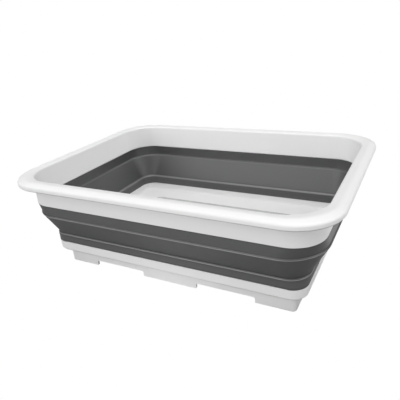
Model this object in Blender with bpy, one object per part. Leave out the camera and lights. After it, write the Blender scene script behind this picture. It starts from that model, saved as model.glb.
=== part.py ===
"""A collapsible rectangular wash tub: a rigid rim and a rigid base joined by a soft wall that folds.

Metres, +Z up. The origin is the middle of the footprint, on the surface that the feet stand on, and
+X runs along the longer side. The tub stands open, and pressing the rim down folds the middle panel
of the soft wall inside out.

Every piece is a closed cross-section carried round a rounded rectangle. A Ring is one point of such a
cross-section: how far it lies inside the rim's outline, its height above the ground, and the radius
of its four corners.
"""
import math
from collections import namedtuple

import bmesh
import bpy

Ring = namedtuple("Ring", "inset height corner")

# Outline of the rim, seen from above
RIM_LENGTH = 0.370
RIM_DEPTH = 0.2678
RIM_CORNER = 0.0453

# Heights of the stacked stretches of the wall, from the ground up
LEDGE_HEIGHT = 0.0196
BASE_WALL_HEIGHT = 0.0132
LOWER_PANEL_HEIGHT = 0.0109
MIDDLE_PANEL_HEIGHT = 0.0302
UPPER_PANEL_HEIGHT = 0.0123
RIM_HEIGHT = 0.0320

# How far each stretch of the wall steps inwards, from the rim's outline down to the feet
SKIRT_INSET = 0.0155
UPPER_PANEL_FLARE = 0.0017
MIDDLE_PANEL_RUN = 0.0158
LOWER_PANEL_RUN = 0.0007
BASE_WALL_RUN = 0.0041
FOOT_SETBACK = 0.0070
FOOT_DRAFT = 0.0001

# Corner radius at each level of the wall
LIP_INNER_CORNER = 0.0380
SKIRT_CORNER = 0.0319
UPPER_FOLD_CORNER = 0.0402
LOWER_FOLD_CORNER = 0.0214
BASE_CORNER = 0.0165
LEDGE_CORNER = 0.0140
FOOT_CORNER = 0.0047
FLOOR_PANEL_CORNER = 0.0150

# Walls and the fit between the pieces
WALL = 0.0027
CLEARANCE = 0.0003
SKIRT_SEAM_RISE = 0.0012
FOLD_SEAM_DROP = 0.0007
BASE_SEAM_DROP = 0.0012
BAND_STEP = 0.0003

# The lip, an open channel that rolls over the top of the skirt
LIP_WIDTH = 0.0165
LIP_DROP = 0.0085
LIP_ROLL = 0.0045
LIP_TUCK = 0.0015
LIP_WALL = 0.0022
LIP_CROWN = 0.0016

# The thin flanges that the soft wall is moulded over
FLANGE_THICKNESS = 0.0008
FLANGE_HEIGHT = 0.0050

# The tray's rounded lower edge and its floor
FLOOR_THICKNESS = 0.0022
FLOOR_FILLET = 0.0080
FLOOR_PANEL_INSET = 0.0639
FLOOR_PANEL_DEPTH = 0.0012
FLOOR_PANEL_SLOPE = 0.0014
EDGE_ROUND_HEIGHT = 0.0038
TRAY_WALL_DRAFT = 0.0006

# The foot ring, set in under the tray: its gaps leave a foot at each corner, and one more in the middle
# of the front and of the back
FOOT_WALL = 0.0025
FOOT_GAP_HEIGHT = 0.0069
FOOT_GAP_LENGTH = 0.0673
MIDDLE_FOOT_LENGTH = 0.0688
FOOT_ROUND = 0.0015
FOOT_GAP_FILLET = 0.0020
CUT_OVERRUN = 0.0050

# Facets
CORNER_STEPS = 8
ROLL_STEPS = 5
FILLET_STEPS = 5
FOOT_STEPS = 3
SHARP_ANGLE = math.radians(35)
EMPTY_SIZE = 0.05

WHITE = (0.84, 0.84, 0.84, 1.0)
GREY = (0.085, 0.085, 0.083, 1.0)
WHITE_ROUGHNESS = 0.38
GREY_ROUGHNESS = 0.62

# Levels that neighbouring pieces share, from the ground up
base_top_height = LEDGE_HEIGHT + BASE_WALL_HEIGHT
lower_fold_height = base_top_height + LOWER_PANEL_HEIGHT
upper_fold_height = lower_fold_height + MIDDLE_PANEL_HEIGHT
skirt_bottom_height = upper_fold_height + UPPER_PANEL_HEIGHT
top_height = skirt_bottom_height + RIM_HEIGHT

upper_fold_inset = SKIRT_INSET - UPPER_PANEL_FLARE
lower_fold_inset = upper_fold_inset + MIDDLE_PANEL_RUN
base_top_inset = lower_fold_inset + LOWER_PANEL_RUN
ledge_inset = base_top_inset + BASE_WALL_RUN
foot_top_inset = ledge_inset + FOOT_SETBACK
floor_height = LEDGE_HEIGHT + FLOOR_THICKNESS

lip_inner = Ring(LIP_WIDTH, top_height - LIP_CROWN, LIP_INNER_CORNER)
skirt_bottom = Ring(SKIRT_INSET, skirt_bottom_height, SKIRT_CORNER)
upper_fold = Ring(upper_fold_inset, upper_fold_height, UPPER_FOLD_CORNER)
lower_fold = Ring(lower_fold_inset, lower_fold_height, LOWER_FOLD_CORNER)
base_top = Ring(base_top_inset, base_top_height, BASE_CORNER)
ledge = Ring(ledge_inset, LEDGE_HEIGHT, LEDGE_CORNER)
foot_top = Ring(foot_top_inset, LEDGE_HEIGHT - CLEARANCE, FOOT_CORNER)
foot_bottom = Ring(foot_top_inset + FOOT_DRAFT, 0.0, FOOT_CORNER)


def inward(ring, distance):
    """The same ring moved towards the middle of the tub, its corners kept concentric."""
    return Ring(ring.inset + distance, ring.height, ring.corner - distance)


def raised(ring, distance):
    return ring._replace(height=ring.height + distance)


def across(ring, distance, rise):
    """A point inside the wall's end face, which rises by rise from its outer to its inner edge."""
    return raised(inward(ring, distance), rise * distance / WALL)


def between(first, second, share):
    return Ring(*(a + (b - a) * share for a, b in zip(first, second)))


def quarter_turn(steps):
    return [step / steps * math.pi / 2 for step in range(steps + 1)]


def outline(ring):
    """The corners of the tub's plan at one level, anticlockwise from the right-hand front corner."""
    half_length = RIM_LENGTH / 2 - ring.inset
    half_depth = RIM_DEPTH / 2 - ring.inset
    points = []
    for quarter, (side_x, side_y) in enumerate(((1, -1), (1, 1), (-1, 1), (-1, -1))):
        centre_x = side_x * (half_length - ring.corner)
        centre_y = side_y * (half_depth - ring.corner)
        for step in range(CORNER_STEPS + 1):
            angle = (quarter - 1 + step / CORNER_STEPS) * math.pi / 2
            points.append((centre_x + ring.corner * math.cos(angle),
                           centre_y + ring.corner * math.sin(angle), ring.height))
    return points


def sweep(rings, closed=True):
    """Joins the rings of a cross-section into one skin. An open one is closed by a flat cap at each end."""
    mesh = bmesh.new()
    loops = [[mesh.verts.new(point) for point in outline(ring)] for ring in rings]
    pairs = list(zip(loops, loops[1:]))
    if closed:
        pairs.append((loops[-1], loops[0]))
    for first, second in pairs:
        for i in range(len(first)):
            mesh.faces.new((first[i - 1], first[i], second[i], second[i - 1]))
    if not closed:
        mesh.faces.new(loops[0])
        mesh.faces.new(loops[-1])
    bmesh.ops.recalc_face_normals(mesh, faces=mesh.faces[:])
    return mesh


def plastic(name, color, roughness):
    material = bpy.data.materials.new(name)
    material.use_nodes = True
    shader = material.node_tree.nodes["Principled BSDF"]
    shader.inputs["Base Color"].default_value = color
    shader.inputs["Roughness"].default_value = roughness
    shader.inputs["Metallic"].default_value = 0.0
    return material


def make_piece(name, mesh, material, parent=None):
    data = bpy.data.meshes.new(name)
    mesh.to_mesh(data)
    mesh.free()
    data.shade_smooth()
    data.set_sharp_from_angle(angle=SHARP_ANGLE)
    data.materials.append(material)
    piece = bpy.data.objects.new(name, data)
    bpy.context.scene.collection.objects.link(piece)
    piece.parent = parent
    return piece


def tongue(top, bottom, rise):
    """A flange that stands out of a wall's end face at top, along the panel from top to bottom."""
    tip = between(top, bottom, FLANGE_HEIGHT / abs(top.height - bottom.height))
    margin = (WALL - FLANGE_THICKNESS) / 2
    return [across(top, margin, rise), inward(tip, margin),
            inward(tip, WALL - margin), across(top, WALL - margin, rise)]


def groove(top, bottom, rise):
    """The slot in the soft wall that takes a tongue, with the clearance all round, inner side first."""
    share = (FLANGE_HEIGHT + CLEARANCE) / abs(top.height - bottom.height)
    margin = (WALL - FLANGE_THICKNESS) / 2 - CLEARANCE
    end = between(top, bottom, share)
    return [across(top, WALL - margin, rise), inward(end, WALL - margin),
            inward(end, margin), across(top, margin, rise)]


# The rim frame: lip, skirt and the flange below the skirt
lip_edge = Ring(LIP_TUCK, top_height - LIP_DROP, RIM_CORNER - LIP_TUCK)


def lip_roll(radius):
    """The rings of a quarter circle round the lip's outer edge, from its top outwards and down."""
    rings = []
    for turn in quarter_turn(ROLL_STEPS):
        inset = LIP_ROLL - radius * math.sin(turn)
        rings.append(Ring(inset, top_height - LIP_ROLL + radius * math.cos(turn), RIM_CORNER - inset))
    return rings


def lip_outside():
    """The lip's top from its inner edge outwards, over the roll and down to its lower edge."""
    crest = Ring(LIP_WIDTH - WALL, top_height, LIP_INNER_CORNER + WALL)
    return [lip_inner, crest] + lip_roll(LIP_ROLL) + [lip_edge]


def lip_underside():
    """The inside of the lip's channel, from its lower edge up and back to the skirt."""
    skirt_top = Ring(LIP_WIDTH - WALL, top_height - LIP_WALL, LIP_INNER_CORNER + WALL)
    return [inward(lip_edge, LIP_WALL)] + lip_roll(LIP_ROLL - LIP_WALL)[::-1] + [skirt_top]


def rim_frame():
    inner_bottom = across(skirt_bottom, WALL, SKIRT_SEAM_RISE)
    flange = tongue(skirt_bottom, upper_fold, SKIRT_SEAM_RISE)
    return sweep(lip_outside() + lip_underside() + [skirt_bottom] + flange + [inner_bottom])


# The soft wall: three panels, which meet at the two folds
band_top = raised(skirt_bottom, -CLEARANCE)
band_bottom = raised(base_top, CLEARANCE)


def band_upper():
    fold = raised(upper_fold, CLEARANCE / 2)
    face = [across(band_top, BAND_STEP, SKIRT_SEAM_RISE), fold,
            across(fold, WALL, -FOLD_SEAM_DROP), across(band_top, WALL, SKIRT_SEAM_RISE)]
    return sweep(face + groove(band_top, upper_fold, SKIRT_SEAM_RISE))


def band_middle():
    top = raised(upper_fold, -CLEARANCE / 2)
    bottom = raised(lower_fold, CLEARANCE / 2)
    return sweep([top, bottom, across(bottom, WALL, -FOLD_SEAM_DROP), across(top, WALL, -FOLD_SEAM_DROP)])


def band_lower():
    fold = raised(lower_fold, -CLEARANCE / 2)
    face = [across(band_bottom, BAND_STEP, -BASE_SEAM_DROP), fold,
            across(fold, WALL, -FOLD_SEAM_DROP), across(band_bottom, WALL, -BASE_SEAM_DROP)]
    return sweep(face + groove(band_bottom, lower_fold, -BASE_SEAM_DROP))


# The base tray: a shallow dish with a flange on its edge and a sunk panel in its floor
floor_panel_edge = Ring(FLOOR_PANEL_INSET + FLOOR_PANEL_SLOPE, floor_height - FLOOR_PANEL_DEPTH,
                        FLOOR_PANEL_CORNER)
floor_panel_rim = Ring(FLOOR_PANEL_INSET, floor_height, FLOOR_PANEL_CORNER + FLOOR_PANEL_SLOPE)


def tray_outside():
    """From the middle of the underside out to the ledge, round the lower edge and up the wall."""
    rings = [raised(floor_panel_edge, -FLOOR_THICKNESS), raised(floor_panel_rim, -FLOOR_THICKNESS)]
    rounding = BASE_WALL_RUN - TRAY_WALL_DRAFT
    for turn in quarter_turn(FILLET_STEPS):
        rings.append(Ring(ledge.inset - rounding * math.sin(turn),
                          ledge.height + EDGE_ROUND_HEIGHT * (1 - math.cos(turn)), LEDGE_CORNER))
    return rings + [base_top]


def tray_inside():
    """From the wall's inner edge down the fillet, across the floor and into the sunk panel."""
    inner_top = across(base_top, WALL, -BASE_SEAM_DROP)
    fillet_height = inner_top.height - floor_height
    rings = [Ring(inner_top.inset + FLOOR_FILLET * (1 - math.cos(turn)),
                  inner_top.height - fillet_height * math.sin(turn), inner_top.corner)
             for turn in quarter_turn(FILLET_STEPS)]
    return rings + [floor_panel_rim, floor_panel_edge]


def base_tray():
    flange = tongue(base_top, lower_fold, -BASE_SEAM_DROP)
    return sweep(tray_outside() + flange + tray_inside(), closed=False)


# The foot ring, which hangs under the tray inside its ledge and stands on the ground
def foot_ring():
    return sweep([foot_top, foot_bottom, inward(foot_bottom, FOOT_WALL), inward(foot_top, FOOT_WALL)])


def gap_outline():
    """The gap between two feet: round at the feet's lower corners, and filleted under the ring."""
    half = FOOT_GAP_LENGTH / 2
    foot = [(half + FOOT_ROUND * (1 - math.sin(turn)), FOOT_ROUND * (1 - math.cos(turn)))
            for turn in quarter_turn(FOOT_STEPS)[1:]]
    top = [(half - FOOT_GAP_FILLET * (1 - math.cos(turn)),
            FOOT_GAP_HEIGHT - FOOT_GAP_FILLET * (1 - math.sin(turn)))
           for turn in quarter_turn(FOOT_STEPS)]
    right = [(half + FOOT_ROUND, -CUT_OVERRUN)] + foot + top
    return right + [(-along, height) for along, height in reversed(right)]


def gap_cutter(name, centre, reach, turned):
    """A bar that cuts the same gap out of both opposite sides of the foot ring."""
    mesh = bmesh.new()
    verts = [mesh.verts.new((centre + along, -reach, height)) for along, height in gap_outline()]
    face = mesh.faces.new(verts)
    extruded = bmesh.ops.extrude_face_region(mesh, geom=[face])["geom"]
    moved = [item for item in extruded if isinstance(item, bmesh.types.BMVert)]
    bmesh.ops.translate(mesh, verts=moved, vec=(0.0, 2 * reach, 0.0))
    bmesh.ops.recalc_face_normals(mesh, faces=mesh.faces[:])
    data = bpy.data.meshes.new(name)
    mesh.to_mesh(data)
    mesh.free()
    cutter = bpy.data.objects.new(name, data)
    bpy.context.scene.collection.objects.link(cutter)
    cutter.rotation_euler.z = math.pi / 2 if turned else 0.0
    cutter.hide_render = True
    cutter.display_type = "WIRE"
    return cutter


def cut_foot_gaps(ring):
    pitch = (MIDDLE_FOOT_LENGTH + FOOT_GAP_LENGTH) / 2
    cutters = [gap_cutter("left_gap", -pitch, RIM_DEPTH / 2, False),
               gap_cutter("right_gap", pitch, RIM_DEPTH / 2, False),
               gap_cutter("end_gap", 0.0, RIM_LENGTH / 2, True)]
    for cutter in cutters:
        modifier = ring.modifiers.new(cutter.name, "BOOLEAN")
        modifier.operation = "DIFFERENCE"
        modifier.object = cutter


def main():
    for old in list(bpy.data.objects):
        bpy.data.objects.remove(old, do_unlink=True)

    # The rim and the upper part of the soft wall slide down together along the tub's upright axis
    rim_slide = bpy.data.objects.new("rim_slide", None)
    rim_slide.empty_display_size = EMPTY_SIZE
    bpy.context.scene.collection.objects.link(rim_slide)

    make_piece("base_tray", base_tray(), plastic("white_base", WHITE, WHITE_ROUGHNESS))
    ring = make_piece("foot_ring", foot_ring(), plastic("white_feet", WHITE, WHITE_ROUGHNESS))
    cut_foot_gaps(ring)
    make_piece("band_lower", band_lower(), plastic("grey_lower", GREY, GREY_ROUGHNESS))
    make_piece("band_middle", band_middle(), plastic("grey_middle", GREY, GREY_ROUGHNESS), rim_slide)
    make_piece("band_upper", band_upper(), plastic("grey_upper", GREY, GREY_ROUGHNESS), rim_slide)
    make_piece("rim_frame", rim_frame(), plastic("white_rim", WHITE, WHITE_ROUGHNESS), rim_slide)


main()
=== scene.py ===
"""A collapsible rectangular wash tub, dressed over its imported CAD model.

Metres, +Z up, the front towards -Y. The tub stands open on its feet. Its cross-section is written once
for each piece, in millimetres, and carried round the rounded rectangle of the rim.
"""
import math

import bmesh
import bpy
from mathutils import Matrix, Vector


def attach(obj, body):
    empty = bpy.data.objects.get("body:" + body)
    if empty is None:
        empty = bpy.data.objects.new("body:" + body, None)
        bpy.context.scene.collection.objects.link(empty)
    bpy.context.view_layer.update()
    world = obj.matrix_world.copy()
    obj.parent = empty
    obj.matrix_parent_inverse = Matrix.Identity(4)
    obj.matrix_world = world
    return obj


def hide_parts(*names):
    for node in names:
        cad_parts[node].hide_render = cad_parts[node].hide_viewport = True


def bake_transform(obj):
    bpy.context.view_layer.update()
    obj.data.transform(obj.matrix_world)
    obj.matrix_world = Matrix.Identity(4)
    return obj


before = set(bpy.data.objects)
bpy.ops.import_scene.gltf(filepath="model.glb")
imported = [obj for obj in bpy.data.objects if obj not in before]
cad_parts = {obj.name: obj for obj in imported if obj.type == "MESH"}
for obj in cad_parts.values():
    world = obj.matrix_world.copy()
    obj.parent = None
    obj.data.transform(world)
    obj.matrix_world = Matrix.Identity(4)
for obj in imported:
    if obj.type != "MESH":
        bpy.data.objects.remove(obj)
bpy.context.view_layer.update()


# Rim frame
# The stiff hoop round the top: a lip that rolls outwards and down, and a short skirt below it. It is one
# moulding in white polypropylene, and the soft wall is moulded onto the skirt's lower edge.
RIM_LENGTH = 0.370
RIM_DEPTH = 0.2678
MM = 0.001

# Each point of a section is its inset from the rim's outline, its height, the corner radius of the plan
# there and the radius of its edge. A fifth number paints light or shade on the edge: above 0 it is lighter,
# a painted highlight, and below 0 it is darker, painted shade as in a crease, along a seam or under an
# edge.
RIM_SECTION = [
    (15.3, 117.1, 39.2, 2.2),       # the lip's inner edge
    (6.5, 118.3, 42.8, 7.0),        # its crown
    (0.0, 115.6, 45.3, 4.6),        # its outer roll
    (0.0, 111.0, 45.3, 1.4),
    # The lip's lower edge is painted darker here: painted shade under the roll.
    (0.8, 110.0, 44.5, 0.0, -0.9),
    (1.4, 109.3, 43.9, 0.8, -1.0),  # its lower edge
    (3.6, 109.3, 41.7, 0.7, -1.0),
    (2.8, 116.0, 42.5, 1.5),        # the channel under it
    (13.3, 114.2, 40.6, 2.2),
    (15.4, 85.5, 31.9, 0.35),       # the skirt's lower edge
    (18.0, 87.7, 32.6, 0.35),
]


class Wire:
    """One output of a node. Sums and products of wires add Math nodes to the same tree."""

    def __init__(self, tree, socket):
        self.tree = tree
        self.socket = socket

    def __getitem__(self, name):
        return Wire(self.tree, self.socket.node.outputs[name])

    def __add__(self, other):
        return self.tree.math("ADD", self, other)

    def __radd__(self, other):
        return self.tree.math("ADD", other, self)

    def __sub__(self, other):
        return self.tree.math("SUBTRACT", self, other)

    def __rsub__(self, other):
        return self.tree.math("SUBTRACT", other, self)

    def __mul__(self, other):
        return self.tree.math("MULTIPLY", self, other)

    def __rmul__(self, other):
        return self.tree.math("MULTIPLY", other, self)

    def __truediv__(self, other):
        return self.tree.math("DIVIDE", self, other)

    def __mod__(self, other):
        return self.tree.math("MODULO", self, other)

    def __abs__(self):
        return self.tree.math("ABSOLUTE", self)


class Tree:
    """A node tree being wired."""

    def __init__(self, nodes):
        self.nodes = nodes

    def feed(self, node, inputs):
        """Links wires to a node's inputs and sets its other inputs to values."""
        for name, value in inputs.items():
            if isinstance(value, Wire):
                self.nodes.links.new(value.socket, node.inputs[name])
            else:
                node.inputs[name].default_value = value

    def node(self, kind, inputs=None, output=0, **settings):
        """Adds a node of any kind, sets it, feeds it and returns one of its outputs."""
        made = self.nodes.nodes.new(kind)
        for name, value in settings.items():
            setattr(made, name, value)
        self.feed(made, inputs or {})
        return Wire(self, made.outputs[output]) if made.outputs else None

    def math(self, operation, *values):
        return self.node("ShaderNodeMath", dict(enumerate(values)), operation=operation)


def new_tree(name, sizes):
    """A Geometry Nodes tree with a mesh, the named sizes and a material for inputs."""
    nodes = bpy.data.node_groups.new(name, "GeometryNodeTree")
    nodes.interface.new_socket("Mesh", in_out="INPUT", socket_type="NodeSocketGeometry")
    for size, kind in sizes:
        nodes.interface.new_socket(size, in_out="INPUT", socket_type=kind)
    nodes.interface.new_socket("Material", in_out="INPUT", socket_type="NodeSocketMaterial")
    nodes.interface.new_socket("Piece", in_out="OUTPUT", socket_type="NodeSocketGeometry")
    return Tree(nodes)


def end_tree(tree, mesh, material):
    whole = tree.node("GeometryNodeRealizeInstances", {"Geometry": mesh})
    finished = tree.node("GeometryNodeSetMaterial", {"Geometry": whole, "Material": material})
    tree.node("NodeGroupOutput", {"Piece": finished})
    return tree.nodes


# A corner's arc has this many steps, and one more column on the straight at either end of it, which keeps
# the flats flat. That column stands off from the arc by this share of its radius.
CORNER_STEPS = 24
SUPPORT_SHARE = 0.12
WELD_DISTANCE = 1e-5


def carried_round_tree():
    """Carries the object's own mesh, one row of section points, round a rounded rectangle."""
    tree = new_tree("carried_round", [("Length", "NodeSocketFloat"), ("Depth", "NodeSocketFloat"),
                                      ("Corner Steps", "NodeSocketInt")])
    given = tree.node("NodeGroupInput", output="Mesh")
    steps = given["Corner Steps"]
    rows = tree.node("GeometryNodeAttributeDomainSize", {"Geometry": given}, component="MESH")
    quarter_columns = steps + 3
    columns = quarter_columns * 4 + 1
    grid = tree.node("GeometryNodeMeshGrid", {"Vertices X": rows, "Vertices Y": columns})

    index = tree.node("GeometryNodeInputIndex")
    row = tree.math("FLOOR", (index + 0.5) / columns)
    column = index - row * columns

    def of_row(value, kind="FLOAT"):
        return tree.node("GeometryNodeSampleIndex", {"Geometry": given, "Value": value, "Index": row},
                         data_type=kind)

    def named(attribute):
        return tree.node("GeometryNodeInputNamedAttribute", {"Name": attribute}, data_type="FLOAT")

    place = of_row(tree.node("GeometryNodeInputPosition"), "FLOAT_VECTOR")
    place = tree.node("ShaderNodeSeparateXYZ", {0: place})
    corner = of_row(named("corner"))
    # Each point's tint, its painted light or shade, goes with it round the tub.
    rubbed = of_row(named("rubbed"))

    passed = tree.math("FLOOR", (column + 0.5) / quarter_columns)
    step = column - passed * quarter_columns - 1
    turn = tree.math("MINIMUM", tree.math("MAXIMUM", step, 0.0), steps)
    quarter = passed % 4
    angle = (quarter - 1 + turn / steps) * (math.pi / 2)
    cosine = tree.math("COSINE", angle)
    sine = tree.math("SINE", angle)
    straight = (step - turn) * corner * SUPPORT_SHARE
    side_x = tree.math("SIGN", 1.5 - quarter)
    side_y = tree.math("SIGN", 1 - abs(quarter - 1.5))
    inward = place["X"] + corner
    x = side_x * (given["Length"] / 2 - inward) + corner * cosine - straight * sine
    y = side_y * (given["Depth"] / 2 - inward) + corner * sine + straight * cosine
    point = tree.node("ShaderNodeCombineXYZ", {"X": x, "Y": y, "Z": place["Z"]})
    skin = tree.node("GeometryNodeStoreNamedAttribute",
                     {"Geometry": grid, "Name": "rubbed", "Value": rubbed},
                     data_type="FLOAT", domain="POINT")
    skin = tree.node("GeometryNodeSetPosition", {"Geometry": skin, "Position": point})
    skin = tree.node("GeometryNodeMergeByDistance", {"Geometry": skin, "Distance": WELD_DISTANCE})
    return end_tree(tree, skin, given["Material"])


carried_round = carried_round_tree()

# The arc on an edge of a section: the most of a flat that it takes, the turn of one step, the fewest steps
EDGE_SHARE = 0.47
EDGE_TURN = math.radians(11)
FEWEST_EDGE_STEPS = 3

# One more point on the flat stands off from the arc by the lesser of two distances. Each is a share, of
# the arc's reach or of the shorter flat, and a little more in millimetres.
ARC_STANDOFF = (0.35, 0.1)
FLAT_STANDOFF = (0.03, 0.02)


def rounded(section, closed=True):
    """The section's points, with an arc at each edge and a point on the flat either side of it.

    Each point is an inset, a height and a corner radius, in metres, and a tint of painted light or shade.
    """
    points = []
    count = len(section)
    for i, (inset, height, corner, edge, *tint) in enumerate(section):
        here = Vector((inset, height, corner))
        rubbed = tint[0] if tint else 0.0
        if edge == 0 or (not closed and i in (0, count - 1)):
            points.append((*here * MM, rubbed))
            continue
        back = Vector(section[i - 1][:3]) - here
        ahead = Vector(section[(i + 1) % count][:3]) - here
        back_length = back.to_2d().length
        ahead_length = ahead.to_2d().length
        shorter = min(back_length, ahead_length)
        opening = back.to_2d().angle(ahead.to_2d())
        reach = min(edge / math.tan(opening / 2), EDGE_SHARE * shorter)
        start = here + back * (reach / back_length)
        end = here + ahead * (reach / ahead_length)
        standoff = min(ARC_STANDOFF[0] * reach + ARC_STANDOFF[1],
                       FLAT_STANDOFF[0] * shorter + FLAT_STANDOFF[1])
        points.append((*(start + back * (standoff / back_length)) * MM, 0.0))
        steps = max(FEWEST_EDGE_STEPS, round((math.pi - opening) / EDGE_TURN))
        bisector = (back.to_2d().normalized() + ahead.to_2d().normalized()).normalized()
        centre = here.to_2d() + bisector * (reach / math.cos(opening / 2))
        first = start.to_2d() - centre
        sweep = first.angle_signed(end.to_2d() - centre)
        for step in range(steps + 1):
            share = step / steps
            turned = Matrix.Rotation(-sweep * share, 2) @ first + centre
            corner = start.z + (end.z - start.z) * share
            points.append((turned.x * MM, turned.y * MM, corner * MM, rubbed))
        points.append((*(end + ahead * (standoff / ahead_length)) * MM, 0.0))
    if closed:
        points.append(points[0])
    return points


SLIVER_LENGTH = 1e-6
SHARP_ANGLE = math.radians(38)


def plain(piece):
    """Turns the modifiers' result into the piece's own mesh, with its faces outwards."""
    evaluated = piece.evaluated_get(bpy.context.evaluated_depsgraph_get())
    data = bpy.data.meshes.new_from_object(evaluated)
    old = piece.data
    piece.modifiers.clear()
    piece.data = data
    bpy.data.meshes.remove(old)
    mesh = bmesh.new()
    mesh.from_mesh(data)
    bmesh.ops.dissolve_degenerate(mesh, edges=mesh.edges[:], dist=SLIVER_LENGTH)
    bmesh.ops.recalc_face_normals(mesh, faces=mesh.faces[:])
    mesh.to_mesh(data)
    mesh.free()
    data.name = piece.name
    data.shade_smooth()
    data.set_sharp_from_angle(angle=SHARP_ANGLE)
    return piece


def set_inputs(modifier, values):
    for socket in modifier.node_group.interface.items_tree:
        if socket.in_out == "INPUT" and socket.name in values:
            modifier[socket.identifier] = values[socket.name]


def moulding(name, section, material, closed=True):
    """A piece of the given section, carried round the tub."""
    points = rounded(section, closed)
    data = bpy.data.meshes.new(name)
    data.from_pydata([(inset, 0.0, height) for inset, height, corner, rubbed in points],
                     [(i, i + 1) for i in range(len(points) - 1)], [])
    for column, attribute in ((2, "corner"), (3, "rubbed")):
        values = [point[column] for point in points]
        data.attributes.new(attribute, "FLOAT", "POINT").data.foreach_set("value", values)
    piece = bpy.data.objects.new(name, data)
    bpy.context.scene.collection.objects.link(piece)
    modifier = piece.modifiers.new("carried_round", "NODES")
    modifier.node_group = carried_round
    set_inputs(modifier, {"Length": RIM_LENGTH, "Depth": RIM_DEPTH, "Corner Steps": CORNER_STEPS,
                          "Material": material})
    return plain(piece)


def mixed(tree, factor, first, second):
    """A colour between two others. The mix node's colour sockets come after its numbers and vectors."""
    return tree.node("ShaderNodeMix", {0: factor, 6: first, 7: second}, output=2, data_type="RGBA")


WHITE = (0.850, 0.850, 0.853, 1.0)
WHITE_FLOW = (0.885, 0.884, 0.880, 1.0)
WHITE_PAINTED_SHADE = (0.420, 0.420, 0.420, 1.0)
WHITE_ROUGHNESS = 0.42
FLOW_ROUGHNESS = 0.08
GRAIN_ROUGHNESS = 0.06
WHITE_GRAIN_STRENGTH = 0.12
WHITE_GRAIN_HEIGHT = 0.00005


def satin_white():
    """White polypropylene: an even satin skin with faint flow marks, a fine grain and painted shade where
    the tint is below 0.
    """
    material = bpy.data.materials.new("satin_white")
    material.use_nodes = True
    tree = Tree(material.node_tree)
    place = tree.node("ShaderNodeTexCoord", output="Object")
    flow = tree.node("ShaderNodeTexNoise", {"Vector": place, "Scale": 18.0, "Detail": 3.0})
    grain = tree.node("ShaderNodeTexNoise", {"Vector": place, "Scale": 1400.0, "Detail": 2.0})
    rubbed = tree.node("ShaderNodeAttribute", output="Fac", attribute_name="rubbed")
    # Below 0 the tint mixes the white towards a dark grey: painted shade.
    painted_shade = tree.math("MAXIMUM", 0.0 - rubbed, 0.0)
    tone = mixed(tree, flow, WHITE, WHITE_FLOW)
    tone = mixed(tree, painted_shade, tone, WHITE_PAINTED_SHADE)
    roughness = WHITE_ROUGHNESS + flow * FLOW_ROUGHNESS + grain * GRAIN_ROUGHNESS
    bump = tree.node("ShaderNodeBump", {"Strength": WHITE_GRAIN_STRENGTH, "Distance": WHITE_GRAIN_HEIGHT,
                                        "Height": grain})
    tree.feed(tree.nodes.nodes["Principled BSDF"],
              {"Base Color": tone, "Roughness": roughness, "Normal": bump})
    return material


white = satin_white()
rim = moulding("rim", RIM_SECTION, white)
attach(rim, "rim")
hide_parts("rim_frame")


# Down the outside, then up the inside. A raised bead marks each fold on the outside. The fifth numbers are
# painted light and shade: a painted highlight along each fold, painted shade in the creases beside the
# folds, along the seams and under the skirt, and a little painted light on the outside of the lower panel.
WALL_OUTSIDE = [
    (15.6, 85.2, 31.7, 0.5, -0.6),  # the seam with the skirt
    (14.7, 74.9, 40.6, 0.7, -1.0),
    (13.5, 73.2, 42.3, 0.6, 1.0),   # the upper fold
    (30.2, 45.1, 21.0, 0.5, -1.0),
    (29.0, 43.6, 21.9, 0.8, 1.0),   # the lower fold
    (29.4, 40.2, 20.0, 0.0, 0.12),
    (30.1, 36.0, 17.7, 0.0, 0.16),
    (30.4, 33.0, 16.3, 0.5, -0.6),  # the seam with the tray
]
WALL_INSIDE = [
    (33.2, 31.0, 17.6, 0.4, -0.6),
    (33.7, 37.5, 17.1, 0.0, -0.25),
    (34.0, 43.6, 16.6, 4.5, 0.7),   # the lower fold
    (31.0, 44.9, 19.3, 0.3, -0.9),
    (18.2, 72.5, 36.4, 0.6, 0.8),   # the upper fold
    (16.4, 74.5, 37.5, 0.5, -0.5),
    (17.0, 79.0, 34.8, 0.0, -0.2),
    (17.9, 85.0, 32.8, 0.0, -0.2),
    (18.3, 87.5, 32.3, 0.4, -0.6),
]

# The middle panel follows the point with this number. It is given many rows.
PANEL_OUTSIDE = 2
PANEL_INSIDE = 3
FOLD_ROWS = 14


def with_rows(section, first, rows):
    """The section with rows more points along the straight that follows its point number first."""
    start, end = (Vector(section[corner][:3]) for corner in (first, first + 1))
    between = [tuple(start.lerp(end, (row + 1) / (rows + 1))) + (0.0,) for row in range(rows)]
    return section[:first + 1] + between + section[first + 1:]


GREY = (0.048, 0.049, 0.050, 1.0)
GREY_CLOUD = (0.060, 0.061, 0.061, 1.0)
GREY_PAINTED_HIGHLIGHT = (0.220, 0.220, 0.220, 1.0)
GREY_PAINTED_SHADE = (0.020, 0.020, 0.021, 1.0)
GREY_ROUGHNESS = 0.40
SKIN_ROUGHNESS = 0.06
CREASE_ROUGHNESS = 0.3
HIGHLIGHT_POLISH = 0.08
GREY_GRAIN_STRENGTH = 0.25
GREY_GRAIN_HEIGHT = 0.00008
GREY_SPECULAR = 1.0


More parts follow.
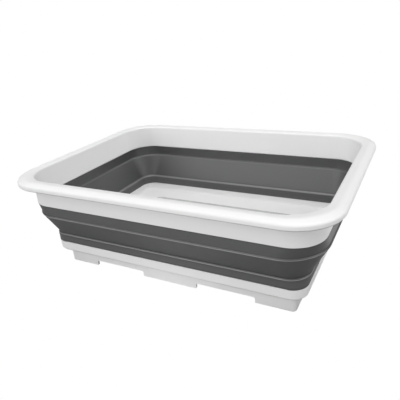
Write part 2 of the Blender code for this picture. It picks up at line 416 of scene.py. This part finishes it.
def matte_grey():
    """Grey elastomer: matte, with a fine skin, a painted highlight on the fold edges and painted shade in
    the creases.
    """
    material = bpy.data.materials.new("matte_grey")
    material.use_nodes = True
    tree = Tree(material.node_tree)
    place = tree.node("ShaderNodeTexCoord", output="Object")
    cloud = tree.node("ShaderNodeTexNoise", {"Vector": place, "Scale": 30.0, "Detail": 4.0})
    grain = tree.node("ShaderNodeTexNoise", {"Vector": place, "Scale": 1800.0, "Detail": 3.0})
    rubbed = tree.node("ShaderNodeAttribute", output="Fac", attribute_name="rubbed")
    # Above 0 the tint mixes in a lighter grey, a painted highlight; below 0 a darker one, painted shade.
    edge = tree.math("MAXIMUM", rubbed, 0.0)
    painted_crease_shade = tree.math("MAXIMUM", 0.0 - rubbed, 0.0)
    tone = mixed(tree, cloud, GREY, GREY_CLOUD)
    tone = mixed(tree, edge, tone, GREY_PAINTED_HIGHLIGHT)
    tone = mixed(tree, painted_crease_shade, tone, GREY_PAINTED_SHADE)
    roughness = GREY_ROUGHNESS + cloud * SKIN_ROUGHNESS + grain * SKIN_ROUGHNESS
    roughness = roughness + painted_crease_shade * CREASE_ROUGHNESS - edge * HIGHLIGHT_POLISH
    bump = tree.node("ShaderNodeBump", {"Strength": GREY_GRAIN_STRENGTH, "Distance": GREY_GRAIN_HEIGHT,
                                        "Height": grain})
    tree.feed(tree.nodes.nodes["Principled BSDF"],
              {"Base Color": tone, "Roughness": roughness, "Normal": bump,
               "Specular IOR Level": GREY_SPECULAR})
    return material


wall_section = (with_rows(WALL_OUTSIDE, PANEL_OUTSIDE, FOLD_ROWS)
                + with_rows(WALL_INSIDE, PANEL_INSIDE, FOLD_ROWS))
wall = moulding("soft_wall", wall_section, matte_grey())
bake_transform(wall)
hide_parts("band_upper", "band_middle", "band_lower")


# Tray
# The stiff base: a shallow dish with a rounded lower edge and a slightly sunk panel in its floor. It is
# moulded in the rim's white polypropylene, and the soft wall is moulded onto its upper edge.
MIDDLE = RIM_DEPTH / 2 / MM
TRAY_SECTION = [
    (MIDDLE, 18.4, 0.0, 0.0),        # the underside, from the middle out
    (65.3, 18.4, 15.0, 0.4),
    (63.9, 19.6, 16.4, 0.4),
    (39.5, 19.6, 8.2, 0.0),
    # The rounded lower edge is painted darker: painted shade as it turns under.
    (33.3, 19.6, 13.7, 1.6, -0.7),   # the rounded lower edge
    (30.8, 22.3, 16.0, 2.2),
    (30.3, 32.8, 16.5, 0.35),        # the seam with the soft wall
    (32.9, 30.8, 17.9, 0.35),
    (33.9, 21.8, 17.4, 7.0),         # the floor, from its edge in
    # The sunk panel's edge and a band beside it are painted darker: a painted shadow of the step.
    (63.2, 21.8, 17.1, 2.0, -1.0),   # the edge of the sunk panel, and a shade beside it
    (64.6, 20.6, 15.7, 2.0, -1.0),
    (67.4, 20.6, 12.9, 0.0, -0.9),
    (69.8, 20.6, 10.5, 0.0, -0.4),
    (72.0, 20.6, 8.3, 0.0),
    (MIDDLE, 20.6, 0.0, 0.0),
]

tray = moulding("tray", TRAY_SECTION, white, closed=False)
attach(tray, "base")
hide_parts("base_tray")


# Foot ring
# The low wall under the tray, set in from its edge, in the same white moulding. Gaps cut out of it leave a
# foot at each corner, and one more in the middle of the front and of the back.
FOOT_SECTION = [
    (41.4, 19.5, 4.7, 0.3),
    # The foot's lower part is painted darker, most at the edge it stands on: painted shade.
    (41.5, 2.0, 4.7, 0.0, -0.15),
    (41.5, 0.0, 4.7, 1.1, -1.0),     # the edge that it stands on
    (44.0, 0.0, 2.2, 0.5),
    (43.9, 19.5, 2.2, 0.3),
]

# A gap's offset is from the middle of the front to the middle of the gap
FOOT_SIZES = {"Gap Length": 0.0673, "Gap Offset": 0.0680, "Foot Inset": 0.0427}
GAP_HEIGHT = 0.0069
GAP_FILLET = 0.0020
FOOT_ROUND = 0.0018
GAP_STEPS = 5
CUTTER_DEPTH = 0.0120
CUTTER_BELOW = 0.0050

# Half the width of the bar that is stretched to a gap's length. It is just over the fillet's radius, so
# the bar's two fillets don't meet in its middle.
BAR_HALF = GAP_FILLET * 1.01


def gap_bar():
    """A bar with the shape of a gap of no length: half of it lies to each side of the middle."""
    turns = [step / GAP_STEPS * math.pi / 2 for step in range(GAP_STEPS + 1)]
    side = [(BAR_HALF + FOOT_ROUND, -CUTTER_BELOW)]
    side += [(BAR_HALF + FOOT_ROUND * (1 - math.sin(turn)), FOOT_ROUND * (1 - math.cos(turn)))
             for turn in turns]
    side += [(BAR_HALF - GAP_FILLET * (1 - math.cos(turn)), GAP_HEIGHT - GAP_FILLET * (1 - math.sin(turn)))
             for turn in turns]
    outline = side + [(-along, height) for along, height in reversed(side)]
    mesh = bmesh.new()
    face = mesh.faces.new([mesh.verts.new((along, -CUTTER_DEPTH / 2, height)) for along, height in outline])
    moved = bmesh.ops.extrude_face_region(mesh, geom=[face])["geom"]
    bmesh.ops.translate(mesh, verts=[item for item in moved if isinstance(item, bmesh.types.BMVert)],
                        vec=(0.0, CUTTER_DEPTH, 0.0))
    bmesh.ops.recalc_face_normals(mesh, faces=mesh.faces[:])
    data = bpy.data.meshes.new("gap_bar")
    mesh.to_mesh(data)
    mesh.free()
    bar = bpy.data.objects.new("gap_bar", data)
    bpy.context.scene.collection.objects.link(bar)
    return bar


def foot_gaps_tree():
    """Sets a stretched copy of the gap bar at each gap and cuts them all out of the object's own mesh."""
    tree = new_tree("foot_gaps", [("Gap Bar", "NodeSocketObject"), ("Length", "NodeSocketFloat"),
                                  ("Depth", "NodeSocketFloat")]
                    + [(name, "NodeSocketFloat") for name in FOOT_SIZES])
    given = tree.node("NodeGroupInput", output="Mesh")
    bar = tree.node("GeometryNodeObjectInfo", {"Object": given["Gap Bar"]}, output="Geometry")
    place = tree.node("ShaderNodeSeparateXYZ", {0: tree.node("GeometryNodeInputPosition")})
    left_or_right = tree.math("SIGN", place["X"])
    stretch = left_or_right * (given["Gap Length"] / 2 - BAR_HALF)
    stretched = tree.node("GeometryNodeSetPosition", {
        "Geometry": bar, "Offset": tree.node("ShaderNodeCombineXYZ", {"X": stretch})})

    # Two gaps each in the front and in the back, and one in each end
    index = tree.node("GeometryNodeInputIndex")
    along = (2 * (index % 2) - 1) * given["Gap Offset"]
    front_or_back = 2 * tree.math("FLOOR", index / 2) - 1
    across = front_or_back * (given["Depth"] / 2 - given["Foot Inset"])
    end = (2 * index - 1) * (given["Length"] / 2 - given["Foot Inset"])
    bars = []
    for count, spot, turn in ((4, {"X": along, "Y": across}, 0.0), (2, {"X": end}, math.pi / 2)):
        points = tree.node("GeometryNodePoints", {
            "Count": count, "Position": tree.node("ShaderNodeCombineXYZ", spot)})
        bars.append(tree.node("GeometryNodeInstanceOnPoints", {
            "Points": points, "Instance": stretched, "Rotation": (0.0, 0.0, turn)}))
    joined = tree.node("GeometryNodeJoinGeometry", {"Geometry": bars[0]})
    tree.feed(joined.socket.node, {"Geometry": bars[1]})
    cutters = tree.node("GeometryNodeRealizeInstances", {"Geometry": joined})
    cut = tree.node("GeometryNodeMeshBoolean", {"Mesh 1": given, "Mesh 2": cutters},
                    operation="DIFFERENCE", solver="EXACT")
    return end_tree(tree, cut, given["Material"])


feet = moulding("feet", FOOT_SECTION, white)
bar = gap_bar()
gaps = feet.modifiers.new("foot_gaps", "NODES")
gaps.node_group = foot_gaps_tree()
set_inputs(gaps, {"Gap Bar": bar, "Length": RIM_LENGTH, "Depth": RIM_DEPTH, "Material": white,
                  **FOOT_SIZES})
plain(feet)
bpy.data.objects.remove(bar)
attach(feet, "base")
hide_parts("foot_ring")


# Table and light
# A pale table in a white studio. The soft boxes are round glows in the sky, each with an azimuth (0 at the
# front, 90 at the right) and an elevation in degrees, a tightness and a strength. The cards are the same on
# the table itself, round the tub.
TABLE_SIZE = 8.0
TABLE_TONE = 0.30
SOFT_BOXES = [
    (0, 90, 20, 3.50),
    (0, 50, 8, 1.20),
    (120, 50, 8, 1.50),
    (300, 50, 8, 0.55),
    (0, 15, 14, 0.55),
    (60, 15, 14, 0.55),
    (90, 15, 14, 1.85),
    (330, 15, 14, 2.62),
    (225, 2, 20, 0.38),
    (315, 2, 20, 0.92),
]
CARDS = [
    (0, 0, 4, 0.29),
    (120, 0, 8, 0.85),
    (270, 0, 4, 0.12),
]


def glow(tree, direction, boxes):
    """The light from a direction: each box is brightest in its middle and fades round it."""
    light = 0.0
    for azimuth, elevation, tightness, strength in boxes:
        turn = math.radians(azimuth)
        rise = math.radians(elevation)
        towards = (math.sin(turn) * math.cos(rise), -math.cos(turn) * math.cos(rise), math.sin(rise))
        facing = tree.node("ShaderNodeVectorMath", {0: direction, 1: towards}, output="Value",
                           operation="DOT_PRODUCT")
        facing = tree.math("MAXIMUM", facing, 0.0)
        light = tree.math("POWER", facing, tightness) * strength + light
    return light


def pale_table():
    """A matt pale sheet. The camera sees it evenly white, as a sheet lit from below looks."""
    material = bpy.data.materials.new("pale_table")
    material.use_nodes = True
    tree = Tree(material.node_tree)
    tree.nodes.nodes.clear()
    place = tree.node("ShaderNodeTexCoord", output="Object")
    outward = tree.node("ShaderNodeVectorMath", {0: place}, operation="NORMALIZE")
    sheet = tree.node("ShaderNodeBsdfDiffuse", {"Color": (TABLE_TONE, TABLE_TONE, TABLE_TONE, 1.0)})
    cards = tree.node("ShaderNodeEmission", {"Strength": glow(tree, outward, CARDS)})
    lit = tree.node("ShaderNodeAddShader", {0: sheet, 1: cards})
    seen = tree.node("ShaderNodeLightPath", output="Is Camera Ray")
    white_sheet = tree.node("ShaderNodeEmission", {"Strength": 1.0})
    surface = tree.node("ShaderNodeMixShader", {0: seen, 1: lit, 2: white_sheet})
    tree.node("ShaderNodeOutputMaterial", {"Surface": surface})
    half = TABLE_SIZE / 2
    data = bpy.data.meshes.new("table")
    data.from_pydata([(-half, -half, 0.0), (half, -half, 0.0), (half, half, 0.0), (-half, half, 0.0)],
                     [], [(0, 1, 2, 3)])
    data.materials.append(material)
    table = bpy.data.objects.new("table", data)
    bpy.context.scene.collection.objects.link(table)
    return table


pale_table()

world = bpy.data.worlds.new("studio")
world.use_nodes = True
around = Tree(world.node_tree)
direction = around.node("ShaderNodeTexCoord", output="Generated")
boxes = glow(around, direction, SOFT_BOXES)
seen = around.node("ShaderNodeLightPath", output="Is Camera Ray")
brightness = around.math("MAXIMUM", boxes * (1.0 - seen), seen)
around.feed(world.node_tree.nodes["Background"], {"Color": (1.0, 1.0, 1.0, 1.0), "Strength": brightness})
bpy.context.scene.world = world
bpy.context.scene.view_settings.view_transform = "Standard"


# Camera
# It stands to the front right of the tub and looks down on it, a little out of level. Its turn to the
# left, its tilt down and its roll are in radians, and its lens and sensor in millimetres.
CAMERA_PLACE = (0.2339, -0.4205, 0.2709)
CAMERA_TURN = 0.5144
CAMERA_TILT = 0.4100
CAMERA_ROLL = -0.0882
LENS = 38.24
SENSOR = 36.0
NEAREST_SEEN = 0.01

lens = bpy.data.cameras.new("camera")
lens.lens = LENS
lens.sensor_width = SENSOR
lens.clip_start = NEAREST_SEEN
camera = bpy.data.objects.new("camera", lens)
camera.matrix_world = (Matrix.Translation(CAMERA_PLACE) @ Matrix.Rotation(CAMERA_TURN, 4, "Z")
                       @ Matrix.Rotation(math.pi / 2 - CAMERA_TILT, 4, "X")
                       @ Matrix.Rotation(CAMERA_ROLL, 4, "Z"))
bpy.context.scene.collection.objects.link(camera)
bpy.context.scene.camera = camera
